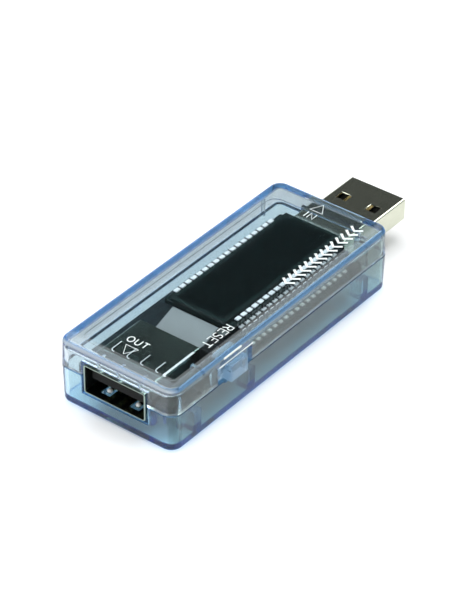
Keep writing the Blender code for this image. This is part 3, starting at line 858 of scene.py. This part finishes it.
# ---------------------------------------------------------------- display

# One clip pin's folds: half width, reach from the display's centre line and heights of each
PIN_PADS = (
    (0.56, (6.15, 6.95), (10.08, 10.3)),
    (0.52, (6.98, 7.55), (8.76, 9.00)),
    (0.44, (7.78, 7.92), (8.42, 8.56)),
)
PIN_LEGS = (
    (0.14, (6.88, 7.16), (9.95, 10.06)),
    (0.14, (7.04, 7.16), (8.95, 10.0)),
    (0.18, (7.36, 7.58), (4.40, 8.50)),
    (0.36, (7.04, 7.60), (8.40, 8.52)),
)
PIN_COUNT = 18
PIN_PITCH = 1.545
FIRST_PIN_X = -5.75
PIN_X = tuple(FIRST_PIN_X + PIN_PITCH * number for number in range(PIN_COUNT))
SOLDER_FOOT = 0.38
SOLDER_TIP = 0.22
SOLDER_HEIGHT = 0.4
SOLDER_Y = 7.47
SOLDER_LIFT = 0.16
RESIN_X = (-6.6, 21.3)
RESIN_Y = (6.93, 7.01)
RESIN_Z = (9.1, 9.85)
# The black panel stands just proud of the glass round it
GLASS_DROP = 0.12
PANEL_MARGIN = (0.8, 0.9)
PANEL_REACH = 5.0
PANEL_DEPTH = 0.11
SEAL_OUT = 0.1
SEAL_Y = 2.2
SEAL_Z = 9.9
SEAL_RADII = (0.35, 0.75, 0.3)


def add_solder(bm, x, y, face, up):
    """A cone of solder on the board's upper or lower face."""
    made = bmesh.ops.create_cone(bm, cap_ends=True, segments=14, radius1=SOLDER_FOOT * MM,
                                 radius2=SOLDER_TIP * MM, depth=SOLDER_HEIGHT * MM)["verts"]
    if up < 0:
        bmesh.ops.rotate(bm, verts=made, matrix=Matrix.Rotation(math.pi, 3, "X"))
    bmesh.ops.translate(bm, vec=(x * MM, y * MM, (face + up * SOLDER_LIFT) * MM), verts=made)


def build_pin_row(node, side):
    """A row of clip pins with solder where each goes through the board, and the resin that seals it."""
    pads = bmesh.new()
    legs = bmesh.new()
    solder = bmesh.new()
    for x in PIN_X:
        for mesh, folds in ((pads, PIN_PADS), (legs, PIN_LEGS)):
            for half, reach, zs in folds:
                box_points(mesh, span(x, half), beside(side, *reach), zs)
        for face, up in zip(BOARD[2], (-1, 1)):
            add_solder(solder, x, side * SOLDER_Y, face, up)
    label = node.replace("lcd_", "display_")
    jaws = mesh_object(f"{label}_jaws", pads)
    finish(jaws, width=0.03, segments=1)
    settle(jaws, "case", "tinned_pins", TIN_WITH_PAINTED_HIGHLIGHT, node)
    stems = mesh_object(f"{label}_legs", legs)
    finish(stems, width=0.04)
    settle(stems, "case", "tinned_pins", SHADED_LEG_TIN)
    joints = mesh_object(f"{label}_solder", solder)
    smooth(joints, 60)
    settle(joints, "case", "tinned_pins", SOLDER)
    bead = boxes(f"{label}_resin", (RESIN_X, beside(side, *RESIN_Y), RESIN_Z))
    finish(bead, width=0.03)
    settle(bead, "case", "tinned_pins", RESIN)


def build_display():
    xs, ys, (low, high) = FRONT_GLASS
    front = boxes("display_glass", (xs, ys, (low, high - GLASS_DROP)))
    finish(front, width=0.1)
    settle(front, "case", "display_glass", GLASS_EDGE, "lcd_front_glass")
    panel_x = (xs[0] + PANEL_MARGIN[0], xs[1] - PANEL_MARGIN[1])
    panel = boxes("display_panel", (panel_x, span(0, PANEL_REACH), (high - PANEL_DEPTH, high)))
    finish(panel, width=0.04)
    settle(panel, "case", "display_glass", DISPLAY)
    rear = boxes("display_rear_glass", REAR_GLASS)
    finish(rear, width=0.1)
    settle(rear, "case", "rear_glass", GLASS_EDGE, "lcd_rear_glass")
    seal = dome("display_fill_seal", (xs[1] + SEAL_OUT, SEAL_Y, SEAL_Z), SEAL_RADII)
    settle(seal, "case", "rear_glass", RESIN)
    for node, side in (("lcd_pins_far", 1), ("lcd_pins_near", -1)):
        build_pin_row(node, side)
    repaint("backlight_guide", GUIDE_ACRYLIC, 0.1)
    repaint("backlight_flap", FLAP_FILM, 0.05)
    for number in (1, 2):
        repaint(f"backlight_led_{number}", PHOSPHOR)


# ---------------------------------------------------------------- board

EDGE_PAD_HALF = 0.4
EDGE_PAD_Y = (-9.5, -8.7)
EDGE_PAD_LIFT = 0.01
EDGE_PAD_HEIGHT = 0.34


def build_board():
    repaint("main_board", BOARD_MASK, 0.05)
    level = BOARD[2][1] + EDGE_PAD_LIFT
    heights = (level, level + EDGE_PAD_HEIGHT)
    row = boxes("board_edge_pads", *((span(x, EDGE_PAD_HALF), EDGE_PAD_Y, heights) for x in PIN_X))
    finish(row, width=0.14, segments=3)
    settle(row, "case", "tinned_pins", WHITE_TIN_AND_HIGHLIGHT)
    for node in ("microcontroller", "voltage_regulator", "shunt_resistor"):
        repaint(node, CHIP)
    repaint("crystal", CAN_METAL, 0.2)
    for number in range(1, 5):
        repaint(f"capacitor_{number}", CERAMIC)
        repaint(f"resistor_{number}", CHIP, 0.04)


# ---------------------------------------------------------------- button and switch

CAP_X = (-16.7, -12.2)
WEB = ((-18.3, -10.1), (-11.9, -10.8), (PARTING + PARTING_RISE, 10.6))
PRESS_PLATE = (BUTTON[0], (-11.0, -10.6), (7.4, 10.7))
# Painted highlights: thin pale strips where the window's edges catch the light
WINDOW_HIGHLIGHTS = (
    ("window_lintel_highlight", ((-17.1, -12.5), (-12.5, -12.3), (11.8, 12.12))),
    ("window_edge_highlight", ((-18.4, -9.4), (-12.53, -12.4), (10.76, 10.92))),
)


def build_button():
    cap = boxes("button_cap", (CAP_X, BUTTON[1], BUTTON[2]))
    round_off(cap, width=0.3, segments=3)
    join(cap, *WEB)
    join(cap, *PRESS_PLATE)
    finish(cap, width=0.06, segments=1)
    settle(cap, "button", "button_plastic", BUTTON_CLEAR, "reset_button")
    # Pale strips at the window: painted highlights
    for name, spot in WINDOW_HIGHLIGHTS:
        strip = boxes(name, spot)
        finish(strip, width=0.03)
        settle(strip, "case", "case_plastic", WHITE_MOULDING_AND_HIGHLIGHT)
    repaint("switch_body", BLACK_MOULDING_AND_SHADE, 0.08)
    repaint("switch_plunger", WHITE_MOULDING_AND_HIGHLIGHT, 0.12)


# ---------------------------------------------------------------- printed marks

INK_HEIGHT = 0.03
INK_LINE = 0.2
# The row of chevrons: how many, the first tip's X, their pitch, depth and Y, and the line's width
CHEVRON_COUNT = 14
CHEVRON_X = 5.4
CHEVRON_PITCH = 1.52
CHEVRON_DEPTH = 1.0
CHEVRON_Y = (-6.9, -8.15, -9.4)
CHEVRON_LINE = 0.5
SAME_POINT = 1e-6


def bend(centre, radii, start, end, steps=10):
    """Points along part of an ellipse, between two angles in degrees."""
    turn = [math.radians(start + (end - start) * step / steps) for step in range(steps + 1)]
    return [(centre[0] + radii[0] * math.cos(a), centre[1] + radii[1] * math.sin(a)) for a in turn]


# Each letter is one unit high: its width, then its strokes
LETTERS = {
    "E": (0.56, [[(0.56, 1), (0, 1), (0, 0), (0.56, 0)], [(0, 0.5), (0.46, 0.5)]]),
    "I": (0.0, [[(0, 0), (0, 1)]]),
    "N": (0.68, [[(0, 0), (0, 1), (0.68, 0), (0.68, 1)]]),
    "O": (0.84, [bend((0.42, 0.5), (0.42, 0.5), 0, 360, 24)]),
    "R": (0.6, [[(0, 0), (0, 1)] + bend((0.34, 0.75), (0.24, 0.25), 90, -90) + [(0, 0.5)],
                [(0.32, 0.5), (0.6, 0)]]),
    "S": (0.58, [bend((0.29, 0.76), (0.27, 0.24), 30, 270) + bend((0.29, 0.26), (0.29, 0.26), 90, -150)]),
    "T": (0.72, [[(0, 1), (0.72, 1)], [(0.36, 1), (0.36, 0)]]),
    "U": (0.68, [[(0, 1)] + bend((0.34, 0.34), (0.34, 0.34), 180, 360) + [(0.68, 1)]]),
}


def letter_strokes(text, start, along, up, height, gap):
    """The strokes of a line of text, in millimetres on the case's top."""
    strokes = []
    reach = 0.0
    for letter in text:
        width, lines = LETTERS[letter]
        for line in lines:
            strokes.append([(start[0] + (along[0] * (reach + u) + up[0] * v) * height,
                             start[1] + (along[1] * (reach + u) + up[1] * v) * height)
                            for u, v in line])
        reach += width + gap
    return strokes


def print_strokes(name, strokes, width, level, material, slot):
    """Ink lines printed on a flat face: round strokes pressed flat."""
    curve = bpy.data.curves.new(name, "CURVE")
    curve.dimensions = "3D"
    curve.bevel_depth = width / 2 * MM
    curve.bevel_resolution = 2
    curve.use_fill_caps = True
    for points in strokes:
        closed = math.dist(points[0], points[-1]) < SAME_POINT
        line = points[:-1] if closed else points
        spline = curve.splines.new("POLY")
        spline.points.add(len(line) - 1)
        spline.use_cyclic_u = closed
        for point, (x, y) in zip(spline.points, line):
            point.co = (x * MM, y * MM, 0, 1)
    piece = bpy.data.objects.new(name, curve)
    bpy.context.scene.collection.objects.link(piece)
    graph = bpy.context.evaluated_depsgraph_get()
    mesh = bpy.data.meshes.new_from_object(piece.evaluated_get(graph))
    bpy.data.objects.remove(piece, do_unlink=True)
    press = Matrix.Diagonal((1, 1, INK_HEIGHT / width, 1))
    mesh.transform(Matrix.Translation((0, 0, level * MM)) @ press)
    mesh.shade_smooth()
    printed = bpy.data.objects.new(name, mesh)
    bpy.context.scene.collection.objects.link(printed)
    settle(printed, "case", slot, material)


def triangle(base_x, ys, apex):
    base = [(base_x, ys[0]), (base_x, ys[1])]
    return [*base, apex, base[0]]


def build_marks():
    marks = {
        "mark_in": letter_strokes("IN", (23.45, 1.58), (0, -1), (1, 0), 1.65, 0.41),
        "mark_in_arrow": [triangle(25.9, (1.93, -0.72), (28.3, 0.7))],
        "mark_out": letter_strokes("OUT", (-23.75, 2.95), (0, -1), (1, 0), 1.4, 0.34),
        "mark_out_arrow": [triangle(-24.65, (2.1, -0.51), (-26.95, 0.85))],
        "mark_reset": letter_strokes("RESET", (-10.1, -7.4), (-1, 0), (0, -1), 1.7, 0.26),
    }
    for name, strokes in marks.items():
        print_strokes(name, strokes, INK_LINE, TOP, INK, "case_plastic")
    chevrons = []
    for number in range(CHEVRON_COUNT):
        tip = CHEVRON_X + CHEVRON_PITCH * number
        xs = (tip + CHEVRON_DEPTH, tip, tip + CHEVRON_DEPTH)
        chevrons.append(list(zip(xs, CHEVRON_Y)))
    print_strokes("mark_flow_pattern", chevrons, CHEVRON_LINE, TOP, INK, "case_plastic")


# ---------------------------------------------------------------- stage

# Softboxes: name, place and aim in metres, width, height and power
SOFTBOXES = (
    ("key_softbox", (0.0, 0.30, 1.45), (0, 0, 0), 1.7, 1.7, 29),
    ("right_softbox", (0.95, -0.45, 1.05), (0, 0, 0), 1.2, 0.35, 9),
    ("end_softbox", (-1.3, 0.12, 0.45), (-0.03, 0, 0.007), 0.6, 0.4, 5),
    ("left_softbox", (-0.30, 0.74, 1.25), (0, 0, 0), 0.7, 0.5, 2.2),
    ("near_softbox", (0.35, -1.3, 0.75), (0, 0, 0), 1.1, 0.6, 2.0),
)
FLOOR_SIZE = 3.0
FLOOR_LEVEL = -0.00005
FLOOR_COLOUR = (0.90, 0.90, 0.90, 1.0)
# The studio's light from below, its light from level up, and where each is reached
BELOW = (0.25, (0.80, 0.86, 0.92, 1.0))
ABOVE = (0.5, (0.045, 0.05, 0.05, 1.0))
CLEAR_BOUNCES = 48
GLOSSY_BOUNCES = 24


def build_floor():
    bm = bmesh.new()
    bmesh.ops.create_grid(bm, x_segments=1, y_segments=1, size=FLOOR_SIZE)
    floor = mesh_object("floor", bm)
    floor.location = (0, 0, FLOOR_LEVEL)
    nodes = Nodes("pale_floor")
    nodes.shader.inputs["Base Color"].default_value = FLOOR_COLOUR
    nodes.shader.inputs["Roughness"].default_value = 0.9
    nodes.shader.inputs["Specular IOR Level"].default_value = 0.1
    floor.data.materials.append(nodes.material)


def build_world():
    world = bpy.data.worlds.new("studio")
    world.use_nodes = True
    tree = world.node_tree
    background = tree.nodes["Background"]
    parts = tree.nodes.new("ShaderNodeSeparateXYZ")
    tree.links.new(tree.nodes.new("ShaderNodeTexCoord").outputs["Generated"], parts.inputs["Vector"])
    fade = tree.nodes.new("ShaderNodeValToRGB")
    for element, (position, colour) in zip(fade.color_ramp.elements, (BELOW, ABOVE)):
        element.position = position
        element.color = colour
    tree.links.new(parts.outputs["Z"], fade.inputs["Fac"])
    tree.links.new(fade.outputs["Color"], background.inputs["Color"])
    background.inputs["Strength"].default_value = 1.0
    bpy.context.scene.world = world


def add_softbox(name, place, target, width, height, power):
    lamp = bpy.data.lights.new(name, "AREA")
    lamp.shape = "RECTANGLE"
    lamp.size = width
    lamp.size_y = height
    lamp.energy = power
    light = bpy.data.objects.new(name, lamp)
    light.location = place
    aim = Vector(target) - Vector(place)
    light.rotation_euler = aim.to_track_quat("-Z", "Y").to_euler()
    bpy.context.scene.collection.objects.link(light)


def build_stage():
    build_floor()
    build_world()
    for softbox in SOFTBOXES:
        add_softbox(*softbox)
    scene = bpy.context.scene
    scene.cycles.max_bounces = CLEAR_BOUNCES
    scene.cycles.transmission_bounces = CLEAR_BOUNCES
    scene.cycles.glossy_bounces = GLOSSY_BOUNCES
    scene.cycles.transparent_max_bounces = CLEAR_BOUNCES
    scene.view_settings.view_transform = "Standard"
    scene.view_settings.look = "None"


# The camera's direction from the object and its roll in degrees, then its place in millimetres
AZIMUTH = -52.444
ELEVATION = 36.012
ROLL = 0.402
DISTANCE = 481.28
RIGHT_SHIFT = 0.44
UP_SHIFT = 7.017
LENS = 167.91
SENSOR = 36.0
CLIP = (0.01, 20)


def build_camera():
    azimuth, elevation, roll = (math.radians(angle) for angle in (AZIMUTH, ELEVATION, ROLL))
    back = Vector((math.sin(azimuth) * math.cos(elevation), -math.cos(azimuth) * math.cos(elevation),
                   math.sin(elevation)))
    level = Vector((math.cos(azimuth), math.sin(azimuth), 0))
    upright = back.cross(level)
    right = level * math.cos(roll) + upright * math.sin(roll)
    up = upright * math.cos(roll) - level * math.sin(roll)
    data = bpy.data.cameras.new("photo_view")
    data.lens = LENS
    data.sensor_width = SENSOR
    data.clip_start, data.clip_end = CLIP
    camera = bpy.data.objects.new("photo_view", data)
    turn = Matrix((right, up, back)).transposed().to_4x4()
    place = (back * DISTANCE + right * RIGHT_SHIFT + up * UP_SHIFT) * MM
    camera.matrix_world = Matrix.Translation(place) @ turn
    bpy.context.scene.collection.objects.link(camera)
    bpy.context.scene.camera = camera


build_camera()
build_stage()
build_upper_shell()
build_lower_shell()
build_socket()
build_plug()
build_display()
build_board()
build_button()
build_marks()
